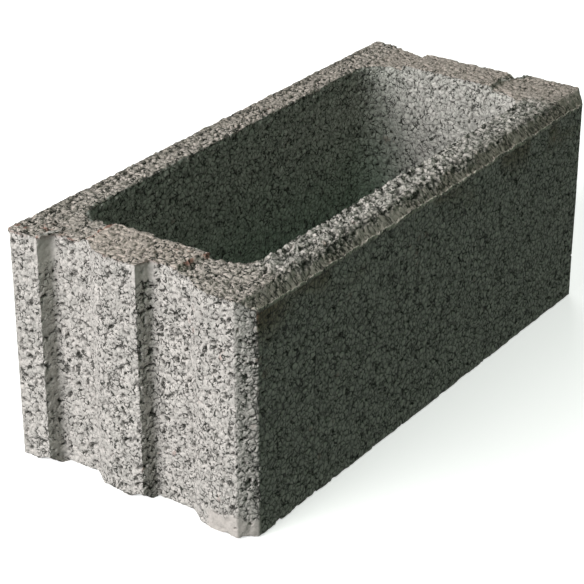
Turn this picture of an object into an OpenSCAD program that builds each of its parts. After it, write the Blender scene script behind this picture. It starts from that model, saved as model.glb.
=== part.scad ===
// Hollow block of lightweight-aggregate concrete with one long chamber.
// +X runs along the block towards its far end, +Y across it, +Z up.
// The origin is at the centre of the footprint, on the bed face.

/* [Block] */
// Length from end face to end face
block_l = 490; // [420:1:600]
// Width across the two long faces
block_w = 225; // [180:1:300]
// Height from the bed face to the top of the side walls
block_h = 190; // [90:1:250]

/* [Chamber] */
// Thickness of the two long side walls
side_wall = 36; // [25:1:45]
// Thickness of the two end walls, at their lands
end_wall = 50; // [35:1:70]
// Radius of the chamber's upright corners
chamber_r = 24; // [5:1:30]

/* [Outer edges] */
// Leg of the chamfer on each upright corner
corner_chamfer = 12; // [4:1:16]
// Width of the bevel on each long top edge, measured on the top
bevel_w = 10; // [3:1:14]
// Height of the bevel on each long top edge, measured on the long face
bevel_h = 10; // [3:1:20]

/* [Mortar grooves] */
// Depth of the grooves and of the far recess
groove_depth = 13; // [6:1:18]
// Depth at which a groove's flank turns into its soft shoulder
shoulder_depth = 3; // [1:0.5:5]
// Run of the steep wall of a groove or recess, across the block
steep_run = 3; // [1:0.5:6]
// Width of a groove's floor
groove_floor_w = 33; // [15:1:36]
// Run of a groove's slanted flank, across the block
flank_run = 13; // [6:1:15]
// Run of a groove's soft shoulder, across the block
shoulder_run = 12; // [4:1:13]
// Flat land between the corner chamfer and the first groove
first_land = 26.5; // [15:0.5:28]
// Flat land between the two grooves
middle_land = 29; // [12:1:32]
// Flat land of the far end on the -Y side of its recess
far_land_right = 47; // [20:1:50]
// Flat land of the far end on the +Y side of its recess
far_land_left = 14.5; // [8:0.5:30]
// Run of the far recess's long flank, across the block
far_flank_run = 40; // [10:1:45]

/* [Top ridges] */
// Width of the ridge on the top of each end wall
ridge_w = 88; // [40:1:100]
// Height of the ridge above the side walls' top
ridge_h = 4; // [1:0.5:8]

/* [Hidden] */
$fn = 96;
// How far a cut reaches past the face that it opens
past = 1;
// The end faces and the +Y long face
end_x = block_l / 2;
side_y = block_w / 2;
// Half the width of an end face between its chamfers
face_y = side_y - corner_chamfer;
chamber_l = block_l - 2 * end_wall;
chamber_w = block_w - 2 * side_wall;
groove_w = steep_run + groove_floor_w + flank_run + shoulder_run;
first_groove_y = face_y - first_land;
second_groove_y = first_groove_y - groove_w - middle_land;

// Plan outline with its four upright corners chamfered
module outer_plan() {
    polygon([
        [-end_x, -face_y],
        [-end_x + corner_chamfer, -side_y],
        [end_x - corner_chamfer, -side_y],
        [end_x, -face_y],
        [end_x, face_y],
        [end_x - corner_chamfer, side_y],
        [-end_x + corner_chamfer, side_y],
        [-end_x, face_y],
    ]);
}

// Rounded rectangle of the chamber
module chamber_plan() {
    square([chamber_l, chamber_w - 2 * chamber_r], center = true);
    square([chamber_l - 2 * chamber_r, chamber_w], center = true);
    for (sx = [-1, 1], sy = [-1, 1]) {
        translate([sx * (chamber_l / 2 - chamber_r), sy * (chamber_w / 2 - chamber_r)])
            circle(r = chamber_r);
    }
}

// Mortar groove of the near end, from its steep wall at y0 towards -Y
module groove_plan(y0) {
    floor_y = y0 - steep_run;
    flank_y = floor_y - groove_floor_w;
    shoulder_y = flank_y - flank_run;
    polygon([
        [-end_x - past, y0],
        [-end_x, y0],
        [-end_x + groove_depth, floor_y],
        [-end_x + groove_depth, flank_y],
        [-end_x + shoulder_depth, shoulder_y],
        [-end_x, shoulder_y - shoulder_run],
        [-end_x - past, shoulder_y - shoulder_run],
    ]);
}

// Single wide recess of the far end, steep on its -Y side
module far_recess_plan() {
    right_y = -face_y + far_land_right;
    left_y = face_y - far_land_left;
    polygon([
        [end_x + past, right_y],
        [end_x, right_y],
        [end_x - groove_depth, right_y + steep_run],
        [end_x - groove_depth, left_y - far_flank_run],
        [end_x, left_y],
        [end_x + past, left_y],
    ]);
}

// Plan section of the whole block
module block_plan() {
    difference() {
        outer_plan();
        chamber_plan();
        groove_plan(first_groove_y);
        groove_plan(second_groove_y);
        far_recess_plan();
    }
}

// Strip across the middle of both end walls, where the ridges stand
module ridge_strips() {
    for (sx = [-1, 1]) {
        translate([sx * (end_x - end_wall / 2), 0])
            square([end_wall, ridge_w], center = true);
    }
}

// Wedge that bevels one long top edge; side is 1 for +Y and -1 for -Y
module bevel_cut(side) {
    slope = bevel_h / bevel_w;
    translate([-end_x - past, 0, 0])
        rotate([90, 0, 90])
            linear_extrude(block_l + 2 * past)
                polygon([
                    [side * (side_y + past), block_h - bevel_h - past * slope],
                    [side * (side_y - bevel_w - past), block_h + past * slope],
                    [side * (side_y + past), block_h + past * slope],
                ]);
}

// The block, cast as one piece
module block() {
    color("#B4B0AB")
    difference() {
        union() {
            linear_extrude(block_h) block_plan();
            linear_extrude(block_h + ridge_h)
                intersection() {
                    block_plan();
                    ridge_strips();
                }
        }
        bevel_cut(1);
        bevel_cut(-1);
    }
}

block();
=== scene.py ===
"""Hollow block of expanded-clay concrete: one fine relief skin over the whole casting, cut at its edges."""

import itertools
import math
from functools import partial
from types import SimpleNamespace

import bpy
import numpy as np
from bpy.props import FloatProperty, FloatVectorProperty, IntProperty, PointerProperty
from bpy.types import Operator, Panel, PropertyGroup
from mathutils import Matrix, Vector


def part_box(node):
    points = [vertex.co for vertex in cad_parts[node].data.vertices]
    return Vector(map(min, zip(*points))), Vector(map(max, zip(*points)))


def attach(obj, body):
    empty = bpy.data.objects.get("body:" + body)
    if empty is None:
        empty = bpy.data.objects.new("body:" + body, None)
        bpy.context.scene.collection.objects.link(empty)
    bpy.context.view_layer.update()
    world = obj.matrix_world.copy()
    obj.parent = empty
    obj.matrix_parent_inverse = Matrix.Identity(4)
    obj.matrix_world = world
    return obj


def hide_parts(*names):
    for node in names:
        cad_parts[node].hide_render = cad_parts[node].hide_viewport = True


bl_info = {
    "name": "Hollow clay-aggregate block",
    "version": (1, 0, 0),
    "blender": (4, 5, 0),
    "location": "3D View > Sidebar > Block",
    "description": "Casts a hollow block of lightweight-aggregate concrete with its mould-face relief",
    "category": "Object",
}

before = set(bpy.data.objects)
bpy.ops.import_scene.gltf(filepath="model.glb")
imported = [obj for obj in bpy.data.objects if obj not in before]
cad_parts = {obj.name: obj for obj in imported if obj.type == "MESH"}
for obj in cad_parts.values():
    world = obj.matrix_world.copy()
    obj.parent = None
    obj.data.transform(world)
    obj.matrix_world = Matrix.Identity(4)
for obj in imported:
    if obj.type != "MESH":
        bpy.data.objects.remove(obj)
CAD_LOW, CAD_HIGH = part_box("block")
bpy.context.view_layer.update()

NODE = "block"
MM = 0.001

# The block's box in millimetres: the end faces, the +Y long face, and the top of the ridges
LOW, HIGH = np.array(CAD_LOW) / MM, np.array(CAD_HIGH) / MM
END_X, SIDE_Y, TOP_Z = (side / MM for side in CAD_HIGH)

# Columns run round the plan, anticlockwise from the -Y corner of the near end
SIDES = ("long_face_right", "far_end", "long_face_left", "grooved_end")
# Rows run up the outer wall, over the bevel and the top, down the chamber and back under the bed
ROWS = {"wall": 172, "bevel": 13, "top": 30, "chamber": 112, "bed": 13}
FIRST_ROW = dict(zip((*ROWS, "end"), itertools.accumulate((0, *ROWS.values()))))

# Grains, from the largest: spacing, least and most radius as shares of it, draw, least and most share
# of the radius left proud of the face, or None where they lie anywhere, and least depth in millimetres
GRAIN_LAYERS = (
    ("coarse_grain", 0.40, 0.56, 31, (-0.05, 0.16), 0.0),
    ("middle_grain", 0.34, 0.48, 32, (-0.7, 0.12), 0.0),
    ("middle_grain", 0.34, 0.50, 34, None, 1.3),
    ("fine_grain", 0.34, 0.50, 35, None, 2.0),
)
# Clumps on the crumbled wall top: share of the clump spacing, draw, and share left proud
CLUMP_LAYERS = ((1.0, 36, (-0.45, 0.35)), (0.72, 37, (-0.9, 0.3)))
CLUMP_RADII = (0.42, 0.56)
# Depth of a point that no grain, or no clump, lies over
NO_GRAIN, NO_CLUMP = 9.0, 4.6

# How an outline or an edge wanders: millimetres across a swell, the draw, and the reach in millimetres
GRAIN_WANDER = ((5.0, 10, 2.0), (2.4, 20, 0.9))
RIDGE_WANDER = ((9.0, 0, 5.0), (3.5, 1, 3.0))
BEVEL_WANDER = ((9.0, 2, 1.8), (3.0, 3, 1.8))
TORN_WANDER = ((7.0, 43, 7.0), (3.2, 44, 4.0))

# The near ridge's height as a share of the far one's, and the slope of their broken edges
NEAR_RIDGE, RIDGE_BREAK = 0.82, 0.9
# How far the smooth patch reaches down the steep wall of each groove
STEEP_PATCHES = (21.0, 12.0)
# How far the fins stand out and up, and how deep the foot of the near end is worn
FIN_OUT, FIN_UP, FOOT_WEAR = 1.15, 2.0, 4.6

# Random fields of the relief: millimetres across a swell, and the draw
SWELLS = {
    "drift": (26.0, 40),
    "patch": (11.0, 41),
    "body": (45.0, 50),
    "heap": (16.0, 51),
    "rim_lump": (9.0, 52),
    "chip": (7.0, 53),
    "rim_grit": (4.2, 54),
    "fin_tear": (2.6, 60),
    "fin_run": (12.0, 61),
    "broken": (30.0, 70),
    "fired": (14.0, 71),
    "crack": (8.0, 72),
    "corner_speck": (4.0, 73),
    "arris_speck": (6.0, 74),
    "rust": (5.0, 75),
    "oil": (9.0, 76),
}

# Settings of the nodes that combine numbers, places and colours
TIMES, PLUS, MINUS = ({"operation": kind} for kind in ("MULTIPLY", "ADD", "SUBTRACT"))
MIX, DARKEN = ({"data_type": "RGBA", "blend_type": kind} for kind in ("MIX", "MULTIPLY"))
CLAMPED = {"clamp": True}
OUTLINE = {"feature": "DISTANCE_TO_EDGE"}

FLOOR_HALF = 12.0
FLOOR_GLOW = 0.6
SKY_COLOUR, SKY_STRENGTH = "#E4FFE6", 0.078
# Square lamps: azimuth from -X towards -Y, elevation, distance and side in metres, watts and colour
LAMPS = (
    ("key", -19, 24, 3.2, 2.4, 158, "#FFFFFF"),
    ("side_fill", 70, 58, 3.0, 1.1, 10.8, "#E2FFE4"),
    ("back_fill", -140, 30, 3.5, 1.6, 40, "#FFFFFF"),
)
LAMP_AIM_HEIGHT = 0.1
CAMERA_PLACE = (-1.1650, -0.7941, 0.7782)
CAMERA_AZIMUTH, CAMERA_ELEVATION = -54.921, 26.774
CAMERA_LENS, CAMERA_SENSOR = 120.27, 36.0


# ---------------------------------------------------------------- units and colours


def linear(code):
    """Linear RGB of an sRGB hex colour."""
    parts = [int(code[i : i + 2], 16) / 255 for i in (1, 3, 5)]
    return tuple(p / 12.92 if p <= 0.04045 else ((p + 0.055) / 1.055) ** 2.4 for p in parts)


def per_metre(size_mm):
    """Texture scale whose pattern repeats about every size_mm of real surface."""
    return 1.0 / (size_mm * MM)


def toward(azimuth, elevation):
    """Unit vector at that elevation, with azimuth turned from -Y towards +X, both in degrees."""
    a, e = math.radians(azimuth), math.radians(elevation)
    return Vector((math.sin(a) * math.cos(e), -math.cos(a) * math.cos(e), math.sin(e)))


# ---------------------------------------------------------------- settings


def length(name, description, millimetres):
    """Length setting with its default in millimetres."""
    return FloatProperty(
        name=name, description=description, default=millimetres * MM, unit="LENGTH", precision=4
    )


def tint(name, description, code):
    """Colour setting with its default as an sRGB hex colour."""
    return FloatVectorProperty(
        name=name, description=description, default=linear(code), subtype="COLOR", size=3, min=0.0, max=1.0
    )


class BlockSizes(PropertyGroup):
    """Sizes of the casting inside its box."""

    side_wall: length("Side wall", "Thickness of the two long side walls", 36)
    end_wall: length("End wall", "Thickness of the two end walls at their lands", 50)
    chamber_radius: length("Chamber radius", "Radius of the chamber's upright corners", 24)
    corner_chamfer: length("Corner chamfer", "Leg of the chamfer on each upright corner", 12)
    bevel: length("Top bevel", "Width and height of the bevel on each long top edge", 10)
    groove_depth: length("Groove depth", "Depth of the mortar grooves and of the far recess", 13)
    shoulder_depth: length("Shoulder depth", "Depth at which a groove's flank becomes its shoulder", 3)
    steep_run: length("Steep run", "Run of a groove's steep wall across the block", 3)
    groove_floor: length("Groove floor", "Width of a groove's floor", 33)
    flank_run: length("Flank run", "Run of a groove's slanted flank", 13)
    shoulder_run: length("Shoulder run", "Run of a groove's soft shoulder", 12)
    first_land: length("First land", "Flat land between the corner chamfer and the first groove", 26.5)
    middle_land: length("Middle land", "Flat land between the two grooves", 29)
    far_land_right: length("Far right land", "Flat land of the far end on its -Y side", 47)
    far_land_left: length("Far left land", "Flat land of the far end on its +Y side", 14.5)
    far_flank_run: length("Far flank run", "Run of the far recess's long flank", 40)
    ridge_width: length("Ridge width", "Width of the ridge on each end wall", 88)
    ridge_height: length("Ridge height", "Height of the ridge above the side walls", 4)


class ReliefSizes(PropertyGroup):
    """Grain sizes and depths of the relief, and the mesh that carries it."""

    coarse_grain: length("Coarse grain spacing", "Mean spacing of the largest clay grains", 6.4)
    middle_grain: length("Middle grain spacing", "Mean spacing of the middle clay grains", 4.4)
    clump: length("Clump spacing", "Mean spacing of the stuck clumps on the crumbled wall top", 7.4)
    fine_grain: length("Fine grain spacing", "Mean spacing of the smallest grains", 3.0)
    wall_depth: length("Wall pit depth", "Deepest pit of the outer mould faces", 3.6)
    chamber_depth: length("Chamber pit depth", "Deepest pit of the chamber walls", 3.2)
    bed_depth: length("Bed pit depth", "Deepest pit of the bed face", 1.6)
    top_depth: length("Top pit depth", "Deepest pit of the pressed end tops", 2.2)
    crumble_depth: length("Crumble depth", "Deepest pit of the crumbled side wall top", 5.0)
    film: length("Cement film", "Depth to which the cement film fills a plain mould face", 1.3)
    mesh_step: length("Mesh step", "Spacing of the mesh's points on the outer faces", 1.12)
    seed: IntProperty(name="Seed", description="Start of the random draws", default=417, min=0)


class Finishes(PropertyGroup):
    """Colours of the concrete and its stains, and of the shade and highlight painted onto it."""

    cement: tint("Cement", "Dry cement film on the grains", "#C2BCB8")
    grain_pale: tint("Pale grain", "Lime-pale grain skin", "#D3CDC8")
    grain_dark: tint("Dark grain", "Grey clay grain with a thin cement film", "#ABA8A3")
    # Dark colour painted as shade into pits, gaps, nicks, dots and grain outlines, and also drawn into the
    # bevel's drag streaks
    hollow: tint("Hollow", "Damp dirt and shade deep between grains", "#30312C")
    # Grey-green colour of the shade painted into the chamber
    damp: tint("Damp", "Damp grey-green cement inside the chamber", "#6B8B74")
    pressed: tint("Pressed top", "Rosy cement pressed by the ram", "#C6B5AA")
    fired_clay: tint("Fired clay", "Reddish core of a broken clay grain", "#8C5847")
    # Pale cement of the fin, painted paler still as the highlight it catches along the bevel
    fin_lip: tint("Fin", "Clean cement fin squeezed out along the bevel", "#F1EADC")
    scraped: tint("Scraped bevel", "Tan cement dragged down the bevel by the mould", "#928A7E")
    olive: tint("Olive film", "Thin mould-oil film under the top edge", "#7C6A4A")


# ---------------------------------------------------------------- random fields


def ramp(x, start, end):
    """Smooth step from 0 at start to 1 at end; the two may be either way round."""
    t = np.clip((x - start) / (end - start), 0, 1)
    return t * t * (3 - 2 * t)


def cells(index, size):
    """Place of each lattice cell in a flat table of that size."""
    return (index[:, 0] * size[1] + index[:, 1]) * size[2] + index[:, 2]


def soft_noise(points, cell, seed):
    """Smooth random field between 0 and 1 whose swells are about cell millimetres across."""
    rng = np.random.default_rng(seed)
    q = points / cell
    base = np.floor(q).astype(np.int64)
    low = np.floor(LOW / cell).astype(np.int64) - 1
    size = np.ceil(HIGH / cell).astype(np.int64) + 2 - low
    table = rng.random(tuple(size), dtype=np.float32).ravel()
    t = (q - base).astype(np.float32)
    t = t * t * (3 - 2 * t)
    base = base - low
    total = np.zeros(len(points), np.float32)
    for corner in itertools.product((0, 1), repeat=3):
        weight = np.ones(len(points), np.float32)
        for axis, side in enumerate(corner):
            weight *= t[:, axis] if side else 1 - t[:, axis]
        total += weight * table[cells(base + np.array(corner), size)]
    return total


def wander(points, layers, seed):
    """Sum of random fields around 0, each of its own swell, draw and reach."""
    return sum(reach * (soft_noise(points, cell, seed + draw) - 0.5) for cell, draw, reach in layers)


def pack_grains(points, inward, cell, radii, seed, depth, tone, sunk=None, below=0.0):
    """Lowers depth to where the ray from each point into the block first meets a grain of this size.
    With sunk, the grains nearest the face are rolled against it and stay that share of their radius proud;
    without it, they lie anywhere in the block, at least below millimetres under the face."""
    rng = np.random.default_rng(seed)
    reach = (points + inward * (0.6 * cell)) / cell
    base = np.floor(reach).astype(np.int64)
    low = base.min(0) - 1
    size = base.max(0) + 2 - low
    count = int(np.prod(size))
    jitter = rng.random((count, 3), dtype=np.float32)
    radius = (radii[0] + (radii[1] - radii[0]) * rng.random(count, dtype=np.float32)).astype(np.float32)
    shade = rng.random(count, dtype=np.float32)
    for offset in itertools.product((-1, 0, 1), repeat=3):
        at = base + np.array(offset)
        flat = cells(at - low, size)
        centre = ((at + 0.5) + (jitter[flat] - 0.5) * 0.8) * cell
        to = (centre - points).astype(np.float32)
        along = (to * inward).sum(1)
        root = radius[flat] ** 2 - ((to * to).sum(1) - along**2)
        chord = np.sqrt(np.maximum(root, 0))
        hit = root > 0
        if sunk is None:
            hit &= along + chord > 0
        else:
            hit &= np.abs(along - 0.45 * cell) < 0.62 * cell
            proud = sunk[0] + (sunk[1] - sunk[0]) * jitter[flat, 2]
            along = radius[flat] * (1 - proud)
        entry = along - chord
        if below:
            entry = np.maximum(entry, 0) + below
        nearer = hit & (entry < depth)
        depth[nearer] = entry[nearer]
        tone[nearer] = shade[flat][nearer]


# ---------------------------------------------------------------- base surface, in millimetres


def walk(corners, count):
    """count points at even steps along a polyline, from its start up to but not at its end."""
    corners = np.array(corners, float)
    run = np.concatenate([[0], np.cumsum(np.linalg.norm(np.diff(corners, axis=0), axis=1))])
    at = np.arange(count) / count * run[-1]
    return np.stack([np.interp(at, run, corners[:, k]) for k in (0, 1)], 1)


def steep_walls(s):
    """Where the steep wall of each mortar groove meets the near end, across the block."""
    first = SIDE_Y - s["corner_chamfer"] - s["first_land"]
    width = s["steep_run"] + s["groove_floor"] + s["flank_run"] + s["shoulder_run"]
    return [first - k * (width + s["middle_land"]) for k in (0, 1)]


def outer_plan(s):
    """Corners of the outer outline, one polyline for each of SIDES, split at the middle of each chamfer."""
    c, d = s["corner_chamfer"], s["groove_depth"]
    face = SIDE_Y - c
    half = c / 2
    right_y, left_y = -face + s["far_land_right"], face - s["far_land_left"]
    right = [
        (-END_X + half, -SIDE_Y + half),
        (-END_X + c, -SIDE_Y),
        (END_X - c, -SIDE_Y),
        (END_X - half, -SIDE_Y + half),
    ]
    far = [
        (END_X - half, -SIDE_Y + half),
        (END_X, -face),
        (END_X, right_y),
        (END_X - d, right_y + s["steep_run"]),
        (END_X - d, left_y - s["far_flank_run"]),
        (END_X, left_y),
        (END_X, face),
        (END_X - half, SIDE_Y - half),
    ]
    left = [(-x, -y) for x, y in right]
    near = [(-END_X + half, SIDE_Y - half), (-END_X, face)]
    for y in steep_walls(s):
        floor_y = y - s["steep_run"]
        flank_y = floor_y - s["groove_floor"]
        shoulder_y = flank_y - s["flank_run"]
        near += [
            (-END_X, y),
            (-END_X + d, floor_y),
            (-END_X + d, flank_y),
            (-END_X + s["shoulder_depth"], shoulder_y),
            (-END_X, shoulder_y - s["shoulder_run"]),
        ]
    near += [(-END_X, -face), (-END_X + half, -SIDE_Y + half)]
    return right, far, left, near


def chamber_plan(s):
    """Points of the chamber's rounded outline, one polyline for each of SIDES."""
    cx, cy, r = END_X - s["end_wall"], SIDE_Y - s["side_wall"], s["chamber_radius"]

    def arc(sx, sy, start, end):
        turns = np.radians(np.linspace(start, end, 9))
        return [(sx * (cx - r) + r * math.cos(a), sy * (cy - r) + r * math.sin(a)) for a in turns]

    return (
        arc(-1, -1, 225, 270) + arc(1, -1, 270, 315),
        arc(1, -1, 315, 360) + arc(1, 1, 0, 45),
        arc(1, 1, 45, 90) + arc(-1, 1, 90, 135),
        arc(-1, 1, 135, 180) + arc(-1, -1, 180, 225),
    )


def plan_loops(s, step):
    """Outer and chamber outlines, point for point beside each other, and the first column of each side."""
    outside, inside, starts = [], [], [0]
    for out, chamber in zip(outer_plan(s), chamber_plan(s)):
        run = np.linalg.norm(np.diff(np.array(out), axis=0), axis=1).sum()
        count = int(round(run / step))
        outside.append(walk(out, count))
        inside.append(walk(chamber, count))
        starts.append(starts[-1] + count)
    return np.concatenate(outside), np.concatenate(inside), starts


def ridge_edge(flat, s, seed):
    """Distance from the middle of the block to the ragged edge of an end ridge."""
    return s["ridge_width"] / 2 + wander(flat, RIDGE_WANDER, seed)


def top_height(xy, s, seed):
    """Height of the cast top over the plan: side walls, bevels and the ragged end ridges."""
    wall_top = TOP_Z - s["ridge_height"]
    flat = np.concatenate([xy, np.zeros((len(xy), 1))], 1)
    over_end = ramp(np.abs(xy[:, 0]), END_X - s["end_wall"] - 6, END_X - s["end_wall"] + 1)
    edge = ridge_edge(flat, s, seed)
    ridge = s["ridge_height"] * ramp(np.abs(xy[:, 1]), edge + RIDGE_BREAK, edge - RIDGE_BREAK) * over_end
    ridge *= np.where(xy[:, 0] < 0, NEAR_RIDGE, 1.0)
    from_side = SIDE_Y - np.abs(xy[:, 1])
    bevel = wall_top - s["bevel"] + from_side + wander(flat, BEVEL_WANDER, seed) * ramp(from_side, 6.0, 1.0)
    return np.minimum(wall_top + ridge, bevel)


def base_surface(s, step, seed):
    """Smooth closed skin of the block as a ring of columns, each a closed loop of rows."""
    outside, inside, starts = plan_loops(s, step)
    z_out = top_height(outside, s, seed)
    z_in = top_height(inside, s, seed)
    across = inside - outside
    reach = np.linalg.norm(across, axis=1, keepdims=True)
    lead = np.clip(s["bevel"] * 1.02 / reach, 0, 0.5)
    steps = {band: np.linspace(0, 1, count, endpoint=False) for band, count in ROWS.items()}
    # The bevel's rows end just past its upper edge, the top's rows run on to the chamber's rim
    rows = [np.column_stack([outside, z_out * t]) for t in steps["wall"]]
    over = [outside + across * lead * t for t in steps["bevel"]]
    over += [outside + across * (lead + (1 - lead) * t) for t in steps["top"]]
    rows += [np.column_stack([xy, top_height(xy, s, seed)]) for xy in over]
    # Rows lie closer together near the chamber's rim, where the light falls
    down = 0.62 * steps["chamber"] + 0.38 * steps["chamber"] ** 2
    rows += [np.column_stack([inside, z_in * (1 - t)]) for t in down]
    rows += [np.column_stack([inside - across * t, np.zeros(len(outside))]) for t in steps["bed"]]
    grid = np.stack(rows, 1)
    for axis in (0, 1):
        grid = 0.5 * grid + 0.25 * (np.roll(grid, 1, axis) + np.roll(grid, -1, axis))
    return np.clip(grid, LOW, HIGH), starts


def grid_normals(grid):
    """Unit outward normals of the ring of columns."""
    along = np.roll(grid, -1, 0) - np.roll(grid, 1, 0)
    up = np.roll(grid, -1, 1) - np.roll(grid, 1, 1)
    normal = np.cross(along, up)
    return normal / np.maximum(np.linalg.norm(normal, axis=2, keepdims=True), 1e-9)


# ---------------------------------------------------------------- relief, in millimetres


def swell(at, name):
    """The named random field over the skin, between 0 and 1."""
    cell, draw = SWELLS[name]
    return soft_noise(at.points, cell, at.seed + draw)


def surface_kinds(base, s, seed):
    """The smooth skin as flat arrays, and how far each of its points belongs to each kind of surface."""
    points, normal = base.reshape(-1, 3), grid_normals(base).reshape(-1, 3)
    x, y, z = points.T
    row = np.tile(np.arange(base.shape[1]), base.shape[0])
    wall_top, wall_y, chamfer = TOP_Z - s["ridge_height"], SIDE_Y - s["side_wall"], s["corner_chamfer"]
    at = SimpleNamespace(s=s, seed=seed, points=points, x=x, y=y, z=z, row=row)
    at.wall_top, at.wall_y, at.chamfer = wall_top, wall_y, chamfer
    at.inward = -normal.astype(np.float32)
    at.slant_x, at.slant_y = np.abs(normal[:, 0]), np.abs(normal[:, 1])
    at.near_wall = -END_X + s["end_wall"]
    at.from_side = SIDE_Y - np.abs(y)
    at.chamber = ((row >= FIRST_ROW["chamber"]) & (row < FIRST_ROW["bed"])).astype(np.float32)
    at.bed = (row >= FIRST_ROW["bed"]).astype(np.float32)
    at.outer = (row < FIRST_ROW["bevel"]).astype(np.float32)
    at.level = 1 - at.outer - at.chamber - at.bed
    at.top = ramp(normal[:, 2], 0.35, 0.75) * (z > wall_top - s["bevel"] - 3)
    at.drift, at.patch = swell(at, "drift"), swell(at, "patch")

    at.torn = wander(points, TORN_WANDER, seed)
    at.on_bevel = ramp(at.from_side + at.torn, s["bevel"] * 0.85, s["bevel"] * 0.55)
    at.on_bevel *= ramp(z, wall_top - s["bevel"] - 2, wall_top - s["bevel"])
    at.on_bevel *= (row >= FIRST_ROW["bevel"] - 1) & (row < FIRST_ROW["chamber"])

    # The -Y wall's top crumbled when the mould came off; the +Y wall's is only rough
    at.crumbled = ramp(x, -END_X + 36, -END_X + 70) * ramp(x, END_X - 34, END_X - 62)
    at.crumbled *= ramp(-y, wall_y - 3, wall_y) * at.top
    at.crumbled *= 1 - at.on_bevel
    at.left_rough = 0.45 * ramp(y, wall_y - 3, wall_y) * at.top
    dragged = 0.7 * ramp(at.from_side + 1.6 * at.torn, 2.0 * s["bevel"], 1.2 * s["bevel"])
    at.dragged = dragged * at.top * (np.abs(x) < END_X - 30)

    at.long_face = at.outer * (at.from_side < 3)
    at.in_groove = x < -END_X + s["groove_depth"] + 2
    at.steep = at.outer * at.in_groove * ramp(at.slant_y, 0.5, 0.8)
    at.steep = at.steep * (at.from_side > chamfer + 2)
    at.near_corner = (END_X - np.abs(x) < chamfer + 2) & (SIDE_Y - np.abs(y) < chamfer + 2)
    to_flat = np.minimum(np.abs(np.abs(x) - END_X + chamfer), np.abs(np.abs(y) - SIDE_Y + chamfer))
    at.crisp = at.outer * at.near_corner * ramp(to_flat, 4.0, 1.0)
    at.near_end = ramp(x, at.near_wall + 12, at.near_wall - 6)
    at.ridge_top = at.level * ramp(z, wall_top + 1.2, wall_top + 2.4) * at.near_end
    return at


def grain_depths(at, r):
    """Depth to the first grain under each point of the skin, its tone, and the wandered points."""
    wandered = at.points + np.stack([wander(at.points, GRAIN_WANDER, at.seed + axis) for axis in range(3)], 1)
    depth = np.full(len(wandered), NO_GRAIN, np.float32)
    tone = np.full(len(wandered), 0.5, np.float32)
    for grain, least, most, draw, sunk, below in GRAIN_LAYERS:
        cell = r[grain]
        radii = (least * cell, most * cell)
        pack_grains(wandered, at.inward, cell, radii, at.seed + draw, depth, tone, sunk, below)
    return depth, tone, wandered


def smooth_film(at):
    """Where cement ran against the mould and hides the grain, from 0 to 1, and the part of it at the foot."""
    x, y, z, patch, outer, bevel = at.x, at.y, at.z, at.patch, at.outer, at.s["bevel"]
    smooth = np.zeros(len(x))
    for steep_y, drop in zip(steep_walls(at.s), STEEP_PATCHES):
        near = ramp(np.abs(y - steep_y + 1.0), 5.5, 3.5) * at.in_groove
        smooth = np.maximum(smooth, near * outer * ramp(z, at.wall_top - drop - 3, at.wall_top - drop + 2))
    corner = ramp(x + END_X + SIDE_Y + y, 17.0, 13.0) * outer
    last_land = ramp(x, -END_X + 6, -END_X + 3) * ramp(y, -SIDE_Y + 42, -SIDE_Y + 36) * outer
    foot_film = last_land * ramp(z + 8 * (patch - 0.5), 19.0, 13.0)
    foot_film = np.maximum(foot_film, corner * ramp(z + 6 * (patch - 0.5), 18.0, 13.0))
    smooth = np.maximum(smooth, foot_film)
    smooth = np.maximum(smooth, 0.7 * at.on_bevel * ramp(patch, 0.34, 0.56))
    by_corner = ramp(np.abs(x), END_X - 55, END_X - 25) * (y < 0)
    by_corner = by_corner * ramp(at.from_side + at.torn, bevel + 3, bevel - 2)
    share = np.where(x < 0, 0.3, 0.5)
    return np.maximum(smooth, share * by_corner * np.maximum(at.top, at.on_bevel)), foot_film


def film_depth(at, film, smooth):
    """Depth to which the cement film fills the hollows from the mould face inwards."""
    x, y, top = at.x, at.y, at.top
    pressed = top * (1 - at.crumbled) * (1 - 0.7 * ramp(y, -36, -50) * (x < 0)) * (1 - at.left_rough)
    skin = film + 0.2 * at.long_face - 0.15 * at.steep + 0.45 * at.steep * (y > 20)
    skin = skin - 0.25 * top + 0.25 * pressed - 0.9 * at.left_rough
    skin = skin + 0.35 * pressed * (x > 0)
    skin = skin + 0.5 * ramp(at.drift, 0.5, 0.9) + 0.5 * (at.patch - 0.5)
    skin = skin + 0.55 * at.outer * at.near_corner + 1.8 * at.crisp + 1.2 * at.outer * ramp(at.z, 6, 1)
    return skin + 4.0 * smooth


def crumble(at, r, wandered, depth):
    """Depth of the surface between the stuck clumps of the crumbled wall top, and 0 elsewhere."""
    loose = np.zeros(len(depth), np.float32)
    heap = np.flatnonzero(at.crumbled > 0.01)
    clump, shade = np.full(len(heap), NO_CLUMP, np.float32), np.zeros(len(heap), np.float32)
    for share, draw, sunk in CLUMP_LAYERS:
        lump = share * r["clump"]
        radii = (CLUMP_RADII[0] * lump, CLUMP_RADII[1] * lump)
        pack_grains(wandered[heap], at.inward[heap], lump, radii, at.seed + draw, clump, shade, sunk)
    loose[heap] = 0.78 * clump + 0.56 * np.clip(depth[heap], -0.4, 2.6) - 0.7
    return loose


def pit_depth(at, r, depth, skin, loose):
    """How far the grain relief lies under the smooth skin, eased off towards each surface's deepest pit."""
    limit = r["wall_depth"] * at.outer + r["chamber_depth"] * at.chamber + r["bed_depth"] * at.bed
    limit = limit + r["top_depth"] * at.level
    limit = limit + (r["crumble_depth"] - limit) * at.crumbled
    flush = 0.22 * (1 - 0.8 * at.crisp) * np.clip(depth, -0.4, skin) + 2.1 * np.maximum(depth - skin, 0)
    rounded = np.maximum(0.95 * depth - 0.15, -0.6)
    cut = flush * (1 - at.crumbled) + loose * at.crumbled
    cut = np.where(at.chamber > 0.5, rounded * (0.72 - 0.12 * at.slant_x), cut)
    cut = cut * (1 + 0.4 * at.left_rough)
    return limit * np.tanh(np.maximum(cut, 0) / np.maximum(limit, 0.1)) + np.minimum(cut, 0)


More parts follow.
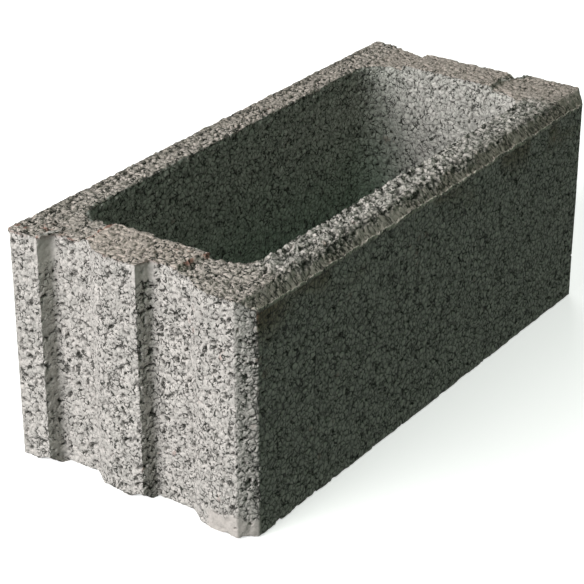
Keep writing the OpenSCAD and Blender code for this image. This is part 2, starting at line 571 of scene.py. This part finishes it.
def unevenness(at):
    """Slow swells of the whole casting, lumps of the chamber's rim, and chips of the arrises and the foot."""
    x, y = at.x, at.y
    rise = 0.5 * (swell(at, "body") - 0.5)
    rise = rise + at.crumbled * 0.9 * (swell(at, "heap") - 0.5)
    rim = ramp(np.abs(at.row - FIRST_ROW["chamber"]), 5, 0)
    calm = 0.85 * ramp(-y, at.wall_y - 8, at.wall_y - 2) * ramp(x, -END_X + 50, -END_X + 80)
    rim = rim * (1 - calm)
    rim = rim * np.where(x < at.near_wall + 12, 1.8, 1.0)
    lumps = 2.0 * ramp(swell(at, "rim_lump"), 0.35, 0.85) + 2.4 * (swell(at, "rim_grit") - 0.3)
    rise = rise + rim * lumps
    arris = ramp(np.abs(at.row - FIRST_ROW["bevel"]), 4, 0) * (1 - at.on_bevel) * (1 - at.near_corner)
    foot = ramp(at.z, 5, 0) * at.outer
    return rise + (arris * 1.1 + foot * 1.3) * ramp(swell(at, "chip"), 0.6, 0.9)


def bevel_fin(at):
    """The row that carries the fin of cement along the lower edge of each long bevel, and the ragged fin."""
    strip = ramp(np.abs(at.row - FIRST_ROW["bevel"] - 0.2), 2.0, 0.6)
    strip = strip * (np.abs(at.x + 2) < END_X - at.chamfer)
    strip *= np.abs(at.y) > SIDE_Y - 4
    return strip, strip * ramp(0.6 * swell(at, "fin_tear") + 0.4 * swell(at, "fin_run"), 0.2, 0.56)


def moved_points(at, pits, strip, fin):
    """The points of the skin with the relief pressed in, the fins drawn out and the near end's foot worn."""
    inset = 1.0 * at.outer + 0.75 * at.chamber + 0.05 * at.bed + 0.6 * at.level
    inset = inset * (1 - ramp(at.z, 3.0, 0.5) * at.bed)
    move = pits + unevenness(at) + inset
    move = move * (1 - ramp(strip, 0.1, 0.6)) - fin * FIN_OUT
    move = np.maximum(move, np.where(at.crumbled > 0.3, -2.2, 0.0))
    done = at.points + at.inward * move[:, None]
    done[:, 2] += FIN_UP * fin
    worn = np.zeros(len(done))
    for steep_y in steep_walls(at.s):
        beside = ramp(np.abs(at.y - steep_y - 2), 13.0, 2.0)
        worn = np.maximum(worn, beside * ramp(at.x, -END_X + 10, -END_X + 3))
    done[:, 2] += FOOT_WEAR * worn * ramp(at.z, 26, 0)
    return np.clip(done, LOW, HIGH)


def clay_stains(at, tone):
    """Reddish places: broken grains, the crack beside the near ridge, and specks of rust at the near end."""
    x, y, z, outer, wall_top = at.x, at.y, at.z, at.outer, at.wall_top
    broken = (tone > 0.975) & (swell(at, "broken") > 0.6)
    fired = broken * ramp(swell(at, "fired"), 0.5, 0.7)
    edge = ridge_edge(at.points * (1, 1, 0), at.s, at.seed)
    ledge = ramp(np.abs(np.abs(y) - edge + np.where(y > 0, 2.0, 0.4)), 2.2, 1.2)
    ledge = ledge * at.level * (x < at.near_wall + 2)
    crack = ledge * np.where(y > 0, 1.0, ramp(swell(at, "crack"), 0.5, 0.7))
    corner = ramp(np.hypot(x + END_X - 4, 0.7 * (y - SIDE_Y + 20)), 34, 12)
    corner = corner * (at.level + outer * ramp(z, wall_top - 5, wall_top))
    crack = np.maximum(crack, corner * ramp(swell(at, "corner_speck"), 0.6, 0.74))
    arris = ramp(np.abs(at.row - FIRST_ROW["bevel"]), 3.5, 1) * (x < -END_X + 20) * ramp(y, -90, 90)
    crack = np.maximum(crack, arris * ramp(swell(at, "arris_speck"), 0.5, 0.62))
    rust = ramp(-x, END_X - 30, END_X - 16) * (at.from_side < 1) * outer * ramp(z, 90, 150)
    crack = np.maximum(crack, 0.75 * rust * ramp(swell(at, "rust"), 0.56, 0.7))
    return np.maximum(0.45 * fired, 0.85 * crack)


def finish_fields(at, tone, pits, smooth, foot_film, fin):
    """What the finish reads at each point, each from 0 to about 1."""
    x, y, z, top, outer, wall_top = at.x, at.y, at.z, at.top, at.outer, at.wall_top
    firm = top * (1 - at.crumbled) * (1 - at.left_rough)
    slab = at.ridge_top * ramp(y, -14, 8)
    pressed = np.clip(top, 0, 1) * (1 - 0.7 * at.crumbled) * (0.68 + 0.32 * at.ridge_top)
    near_edge = ramp(-x, END_X - 70, END_X - 25) * ramp(swell(at, "oil"), 0.2, 0.45)
    oiled = ramp(z, wall_top - 45, wall_top - 14) * outer * (at.from_side < 1)
    oiled = oiled * np.maximum(ramp(at.drift, 0.5, 0.75), 1.4 * near_edge)
    # How much shade is painted along the grain outlines: most on the long faces and in the chamber
    seams = 0.12 + 0.6 * at.long_face + at.chamber * (0.42 - 0.2 * at.slant_x)
    seams = seams + top * (0.09 + 0.06 * (1 - at.near_end)) * (1 - at.ridge_top)
    gaping = 1.0 + 0.2 * top + 0.4 * at.left_rough - 0.1 * at.steep - 0.3 * at.steep * (y > 20)
    gaping = gaping * (1 - 0.4 * at.crisp) - 0.22 * outer * (x < 0) * ramp(y, 10, 60)
    return {
        # How deep the pits lie; it drives the shade painted into them
        "hollow": np.clip((pits - 0.35) / 2.2, 0, 1),
        "grain": tone,
        "skin": np.clip(smooth, 0, 1),
        "pressed": pressed + 0.45 * foot_film,
        "clay": np.clip(clay_stains(at, tone) + firm * (0.05 + 0.08 * (x > 0)), 0, 1),
        "under_edge": oiled + 0.1 * firm * (x > 0),
        "fin": np.clip(1.35 * fin, 0, 1),
        "drag": np.clip(np.maximum(at.on_bevel, at.dragged), 0, 1),
        # Painted shade inside the chamber: a little everywhere, more towards its +Y wall and further down
        "deep": at.chamber * (0.08 + ramp(y, 20, 70) * (0.1 + 0.5 * ramp(z, wall_top - 20, 40))),
        "seams": seams + 0.2 * outer * at.near_corner,
        "open": gaping - 0.5 * slab - 0.2 * at.chamber * at.slant_x - 0.5 * firm * (x > 0),
    }


def cast_relief(base, s, r, seed):
    """Presses the grain relief into the base surface. Returns the points and the fields the finish reads."""
    at = surface_kinds(base, s, seed)
    depth, tone, wandered = grain_depths(at, r)
    smooth, foot_film = smooth_film(at)
    skin = film_depth(at, r["film"], smooth)
    pits = pit_depth(at, r, depth, skin, crumble(at, r, wandered, depth))
    strip, fin = bevel_fin(at)
    points = moved_points(at, pits, strip, fin).reshape(base.shape)
    fields = finish_fields(at, tone, pits, smooth, foot_film, fin)
    shape = base.shape[:2]
    return points, {name: values.reshape(shape).astype(np.float32) for name, values in fields.items()}


# ---------------------------------------------------------------- pieces

CAST = {}


def cast():
    """The finished skin, computed once for all the pieces cut from it."""
    if not CAST:
        scene = bpy.context.scene
        sizes, relief = scene.block_sizes, scene.block_relief
        s = {k: getattr(sizes, k) / MM for k in BlockSizes.__annotations__}
        r = {k: getattr(relief, k) / MM for k in ReliefSizes.__annotations__ if k != "seed"}
        base, starts = base_surface(s, r["mesh_step"], relief.seed)
        points, fields = cast_relief(base, s, r, relief.seed)
        CAST.update(points=points, fields=fields, normals=grid_normals(points), starts=starts)
    return CAST


def lay_flat(mesh, flat):
    """Gives the mesh a map with its points at these places, scaled to fit a square."""
    flat = (flat - flat.min(0)) / (flat.max(0) - flat.min(0)).max()
    chart = mesh.uv_layers.new(name="OFBake")
    corner = np.zeros(len(mesh.loops), np.int32)
    mesh.loops.foreach_get("vertex_index", corner)
    chart.data.foreach_set("uv", flat[corner].astype(np.float32).ravel())


def cut_piece(name, sides, bands, from_above=False):
    """Makes one piece of the skin: from the first column of one side to that of another, and from the first
    row of one band to that of another, with its relief fields and its map, unrolled or seen from above."""
    skin = cast()
    first, last = (skin["starts"][side] for side in sides)
    ring, loop = skin["points"].shape[:2]
    closed = last - first == ring
    i = np.arange(first, last if closed else last + 1) % ring
    j = np.arange(FIRST_ROW[bands[0]], FIRST_ROW[bands[1]] + 1) % loop
    pick = np.ix_(i, j)
    points = skin["points"][pick].reshape(-1, 3) * MM
    normals = skin["normals"][pick].reshape(-1, 3)
    wide, tall = len(i), len(j)
    a, b = np.meshgrid(np.arange(wide if closed else wide - 1), np.arange(tall - 1), indexing="ij")
    a, b = a.ravel(), b.ravel()
    c = (a + 1) % wide
    faces = np.stack([a * tall + b, c * tall + b, c * tall + b + 1, a * tall + b + 1], 1)
    mesh = bpy.data.meshes.new(name)
    mesh.from_pydata(points.tolist(), [], faces.tolist())
    mesh.polygons.foreach_set("use_smooth", np.ones(len(faces), bool))
    for field, values in skin["fields"].items():
        made = mesh.attributes.new(field, "FLOAT", "POINT")
        made.data.foreach_set("value", values[pick].ravel())
    if from_above:
        lay_flat(mesh, points[:, :2])
    else:
        lay_flat(mesh, np.indices((wide, tall)).reshape(2, -1).T)
    mesh.update()
    mesh.normals_split_custom_set_from_vertices(normals.tolist())
    piece = bpy.data.objects.new(name, mesh)
    bpy.context.scene.collection.objects.link(piece)
    mesh.materials.append(clay_concrete())
    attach(piece, "root")
    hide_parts(NODE)


# ---------------------------------------------------------------- finish


def add_node(tree, kind, feeds, settings, output=0):
    """Adds a node. feeds gives each input, in order or by its place or name, a value or the output that
    drives it. Returns the output of that place or name, or nothing for a node that has none."""
    made = tree.nodes.new("ShaderNode" + kind)
    for name, value in settings.items():
        setattr(made, name, value)
    for socket, value in feeds.items() if isinstance(feeds, dict) else enumerate(feeds):
        if isinstance(value, bpy.types.NodeSocket):
            tree.links.new(value, made.inputs[socket])
        else:
            made.inputs[socket].default_value = value
    return made.outputs[output] if made.outputs else None


def clay_concrete():
    """Expanded-clay aggregate concrete, vibrated in a steel mould: dry matt grains under a thin cement film,
    paler where the film met the mould, with painted shade in the gaps, pits and chamber and a painted
    highlight on the fin."""
    name = "expanded_clay_concrete_mould_cast"
    if name in bpy.data.materials:
        return bpy.data.materials[name]
    look = bpy.context.scene.block_finishes
    colour = {k: (*getattr(look, k), 1.0) for k in Finishes.__annotations__}
    made = bpy.data.materials.new(name)
    made.use_nodes = True
    made.node_tree.nodes.clear()
    add = partial(add_node, made.node_tree)
    field = {k: add("Attribute", (), {"attribute_name": k}, "Fac") for k in cast()["fields"]}

    # Grain outlines wander by up to a millimetre, so that none of them is a straight line
    place = add("TexCoord", (), {}, "Object")
    shift = add("TexNoise", {"Vector": place, "Scale": per_metre(4.0), "Detail": 2.0}, {}, "Color")
    shift = add("VectorMath", (shift, (0.5, 0.5, 0.5)), MINUS)
    shift = add("VectorMath", (shift, (2 * MM,) * 3), TIMES)
    bent = add("VectorMath", (place, shift), PLUS)
    # Streaks run down the slope of the bevel, the way the mould left
    slide = add("VectorMath", (bent, (1.0, 0.3, 0.3)), TIMES)
    noise = {
        pattern: add("TexNoise", {"Vector": where, "Scale": per_metre(size_mm), "Detail": detail}, {}, "Fac")
        for pattern, where, size_mm, detail in (
            ("sand", place, 1.4, 3.0),
            ("cloud", place, 28, 3.0),
            ("cluster", place, 11, 2.0),
            ("coarse_gap", bent, 4.2, 1.5),
            ("fine_gap", bent, 2.6, 1.5),
            ("dots", bent, 2.1, 1.0),
            ("streaks", slide, 1.6, 3.0),
        )
    }
    large, small = (
        add("TexVoronoi", {"Vector": bent, "Scale": per_metre(grain_mm)}, OUTLINE, "Distance")
        for grain_mm in (4.8, 2.5)
    )

    # These are painted shade: dark colour in the small holes and cracks between grains
    # Gaps, nicks and dots: few where the film is smooth, more in open areas than in tight ones
    rough = add("MapRange", (field["skin"], 0.1, 0.7, 1.0, 0.12), CLAMPED)
    gaping = add("MapRange", (noise["cluster"], 0.38, 0.62, 0.52, 1.24), CLAMPED)
    gaping = add("Math", (gaping, field["open"]), TIMES)
    gaps = []
    for edges, pattern, widest in ((large, "coarse_gap", 0.135), (small, "fine_gap", 0.13)):
        width = add("MapRange", (noise[pattern], 0.46, 0.72, 0.0, widest), CLAMPED)
        width = add("Math", (width, gaping), TIMES)
        inside = add("MapRange", (add("Math", (width, edges), MINUS), 0.0, 0.03), CLAMPED)
        gaps.append(add("Math", (inside, rough), TIMES))
    gap, nick = gaps
    dot = add("MapRange", (noise["dots"], 0.61, 0.65), CLAMPED)
    dot = add("Math", (add("Math", (dot, rough), TIMES), gaping), TIMES)
    streak = add("MapRange", (noise["streaks"], 0.51, 0.59), CLAMPED)
    streak = add("Math", (field["drag"], streak), TIMES)
    # Painted shade along the outlines of the grains
    seam = add("MapRange", (large, 0.0, 0.18, 1.0, 0.0), CLAMPED)
    seam = add("Math", (add("Math", (seam, field["seams"]), TIMES), rough), TIMES)
    # Painted shade in the pits of the relief, darkest in the deepest
    pit_shade = add("MapRange", (field["hollow"], 0.15, 0.85), CLAMPED)

    # Grains, then cement, stains and the fin's painted highlight, then small changes of tone, then painted
    # shade
    kind = add("MapRange", (field["grain"], 0.15, 0.85), CLAMPED)
    body = add("Mix", {0: kind, 6: colour["grain_dark"], 7: colour["grain_pale"]}, MIX, 2)
    body = add("Mix", {0: 0.45, 6: body, 7: colour["cement"]}, MIX, 2)
    fine_tone = add("MapRange", (noise["sand"], 0.3, 0.7, 0.91, 1.06), CLAMPED)
    slow_tone = add("MapRange", (noise["cloud"], 0.3, 0.7, 0.92, 1.06), CLAMPED)
    tone = add("Math", (fine_tone, slow_tone), TIMES)
    for mask, strength, paint, how in (
        (field["pressed"], 0.65, colour["pressed"], MIX),
        (field["skin"], 0.5, colour["cement"], MIX),
        (field["under_edge"], 0.6, colour["olive"], MIX),
        (field["clay"], 0.9, colour["fired_clay"], MIX),
        # The fin's pale colour includes a painted highlight where it catches the light
        (field["fin"], 1.0, colour["fin_lip"], MIX),
        (field["drag"], 0.45, colour["scraped"], MIX),
        (streak, 0.8, colour["hollow"], MIX),
        (None, 1.0, tone, DARKEN),
        # Painted shade of the chamber, grey-green
        (field["deep"], 1.0, colour["damp"], MIX),
        # Painted shade along grain outlines, in deep pits, and in gaps, nicks and dots
        (seam, 1.0, colour["hollow"], MIX),
        (pit_shade, 0.85, colour["hollow"], MIX),
        (gap, 0.88, colour["hollow"], MIX),
        (nick, 0.8, colour["hollow"], MIX),
        (dot, 0.75, colour["hollow"], MIX),
    ):
        amount = add("Math", (mask, strength), TIMES) if mask else strength
        body = add("Mix", {0: amount, 6: body, 7: paint}, how, 2)

    # Bump only for what is finer than the mesh: grain crowns, sand, gaps and streaks
    parts = []
    for value, share in (
        (add("MapRange", (large, 0.0, 0.3), CLAMPED), 0.55),
        (add("MapRange", (small, 0.0, 0.3), CLAMPED), 0.2),
        (noise["sand"], 0.28),
        (gap, -0.9),
        (nick, -0.54),
        (streak, -0.6),
    ):
        parts.append(add("Math", (value, share), TIMES))
    height = add("Math", (add("Math", parts[:2], PLUS), rough), TIMES)
    for part in parts[2:]:
        height = add("Math", (height, part), PLUS)
    bump = add("Bump", {"Height": height, "Strength": 0.75, "Distance": 1.0 * MM}, {}, "Normal")
    matt = {"Roughness": 0.93, "IOR": 1.5, "Specular IOR Level": 0.25}
    shader = add("BsdfPrincipled", {"Base Color": body, "Normal": bump, **matt}, {})
    add("OutputMaterial", {"Surface": shader}, {})
    return made


def pale_floor():
    """Matt pale paper sweep, rolled smooth: an even tone with no gloss."""
    made = bpy.data.materials.new("pale_paper_rolled")
    made.use_nodes = True
    shader = made.node_tree.nodes["Principled BSDF"]
    shader.inputs["Base Color"].default_value = (*linear("#F4F4F3"), 1.0)
    shader.inputs["Roughness"].default_value = 0.9
    shader.inputs["Emission Color"].default_value = (*linear("#FFFFFF"), 1.0)
    shader.inputs["Emission Strength"].default_value = FLOOR_GLOW
    return made


def softbox(scene, name, azimuth, elevation, distance, size, power, colour):
    """Square lamp that shines on the block; LAMPS says what each value is."""
    place = toward(azimuth - 90, elevation) * distance
    data = bpy.data.lights.new(name, "AREA")
    data.shape, data.size, data.energy, data.color = "SQUARE", size, power, linear(colour)
    lamp = bpy.data.objects.new(name, data)
    lamp.location = place + Vector((0, 0, LAMP_AIM_HEIGHT))
    lamp.rotation_euler = (-place).to_track_quat("-Z", "Y").to_euler()
    scene.collection.objects.link(lamp)


# ---------------------------------------------------------------- operators


class BLOCK_OT_outer_walls(Operator):
    """Build the two long faces and the two grooved or recessed end faces"""

    bl_idname = "block.outer_walls"
    bl_label = "Outer walls"

    def execute(self, context):
        for k, name in enumerate(SIDES):
            cut_piece(name, (k, k + 1), ("wall", "bevel"))
        return {"FINISHED"}


class BLOCK_OT_top(Operator):
    """Build the pressed top with its bevels, ridges and crumbled side wall"""

    bl_idname = "block.top"
    bl_label = "Top"

    def execute(self, context):
        cut_piece("top", (0, 4), ("bevel", "chamber"), from_above=True)
        return {"FINISHED"}


class BLOCK_OT_chamber(Operator):
    """Build the walls of the long chamber, in two halves"""

    bl_idname = "block.chamber"
    bl_label = "Chamber"

    def execute(self, context):
        cut_piece("chamber_right_far", (0, 2), ("chamber", "bed"))
        cut_piece("chamber_left_near", (2, 4), ("chamber", "bed"))
        return {"FINISHED"}


class BLOCK_OT_bed(Operator):
    """Build the bed face that the block stands on"""

    bl_idname = "block.bed"
    bl_label = "Bed face"

    def execute(self, context):
        cut_piece("bed", (0, 4), ("bed", "end"), from_above=True)
        return {"FINISHED"}


class BLOCK_OT_stage(Operator):
    """Set the floor, the studio light and the camera"""

    bl_idname = "block.stage"
    bl_label = "Stage"

    def execute(self, context):
        scene = context.scene
        mesh = bpy.data.meshes.new("floor")
        corners = [(x * FLOOR_HALF, y * FLOOR_HALF, 0) for x, y in ((-1, -1), (1, -1), (1, 1), (-1, 1))]
        mesh.from_pydata(corners, [], [(0, 1, 2, 3)])
        floor = bpy.data.objects.new("floor", mesh)
        mesh.materials.append(pale_floor())
        scene.collection.objects.link(floor)
        # The floor's own glow must not light the shaded faces
        floor.visible_diffuse = False

        world = bpy.data.worlds.new("studio")
        world.use_nodes = True
        sky = world.node_tree.nodes["Background"]
        sky.inputs["Color"].default_value = (*linear(SKY_COLOUR), 1.0)
        sky.inputs["Strength"].default_value = SKY_STRENGTH
        scene.world = world
        for lamp in LAMPS:
            softbox(scene, *lamp)

        camera = bpy.data.objects.new("camera", bpy.data.cameras.new("camera"))
        camera.location = CAMERA_PLACE
        back = toward(CAMERA_AZIMUTH, CAMERA_ELEVATION)
        camera.rotation_euler = (-back).to_track_quat("-Z", "Y").to_euler()
        camera.data.sensor_width = CAMERA_SENSOR
        camera.data.lens = CAMERA_LENS
        scene.collection.objects.link(camera)
        scene.camera = camera
        scene.view_settings.view_transform = "Standard"
        return {"FINISHED"}


class BLOCK_PT_sidebar(Panel):
    """Lists the steps that build the block and its stage"""

    bl_idname = "BLOCK_PT_sidebar"
    bl_label = "Hollow block"
    bl_space_type = "VIEW_3D"
    bl_region_type = "UI"
    bl_category = "Block"

    def draw(self, context):
        for operator in OPERATORS:
            self.layout.operator(operator.bl_idname)


OPERATORS = (
    BLOCK_OT_stage,
    BLOCK_OT_outer_walls,
    BLOCK_OT_top,
    BLOCK_OT_chamber,
    BLOCK_OT_bed,
)
GROUPS = (BlockSizes, ReliefSizes, Finishes)


def register():
    for kind in GROUPS + OPERATORS + (BLOCK_PT_sidebar,):
        bpy.utils.register_class(kind)
    bpy.types.Scene.block_sizes = PointerProperty(type=BlockSizes)
    bpy.types.Scene.block_relief = PointerProperty(type=ReliefSizes)
    bpy.types.Scene.block_finishes = PointerProperty(type=Finishes)


def unregister():
    del bpy.types.Scene.block_finishes
    del bpy.types.Scene.block_relief
    del bpy.types.Scene.block_sizes
    for kind in reversed(GROUPS + OPERATORS + (BLOCK_PT_sidebar,)):
        bpy.utils.unregister_class(kind)


def main():
    register()
    bpy.ops.block.stage()
    bpy.ops.block.outer_walls()
    bpy.ops.block.top()
    bpy.ops.block.chamber()
    bpy.ops.block.bed()


if __name__ == "__main__":
    main()
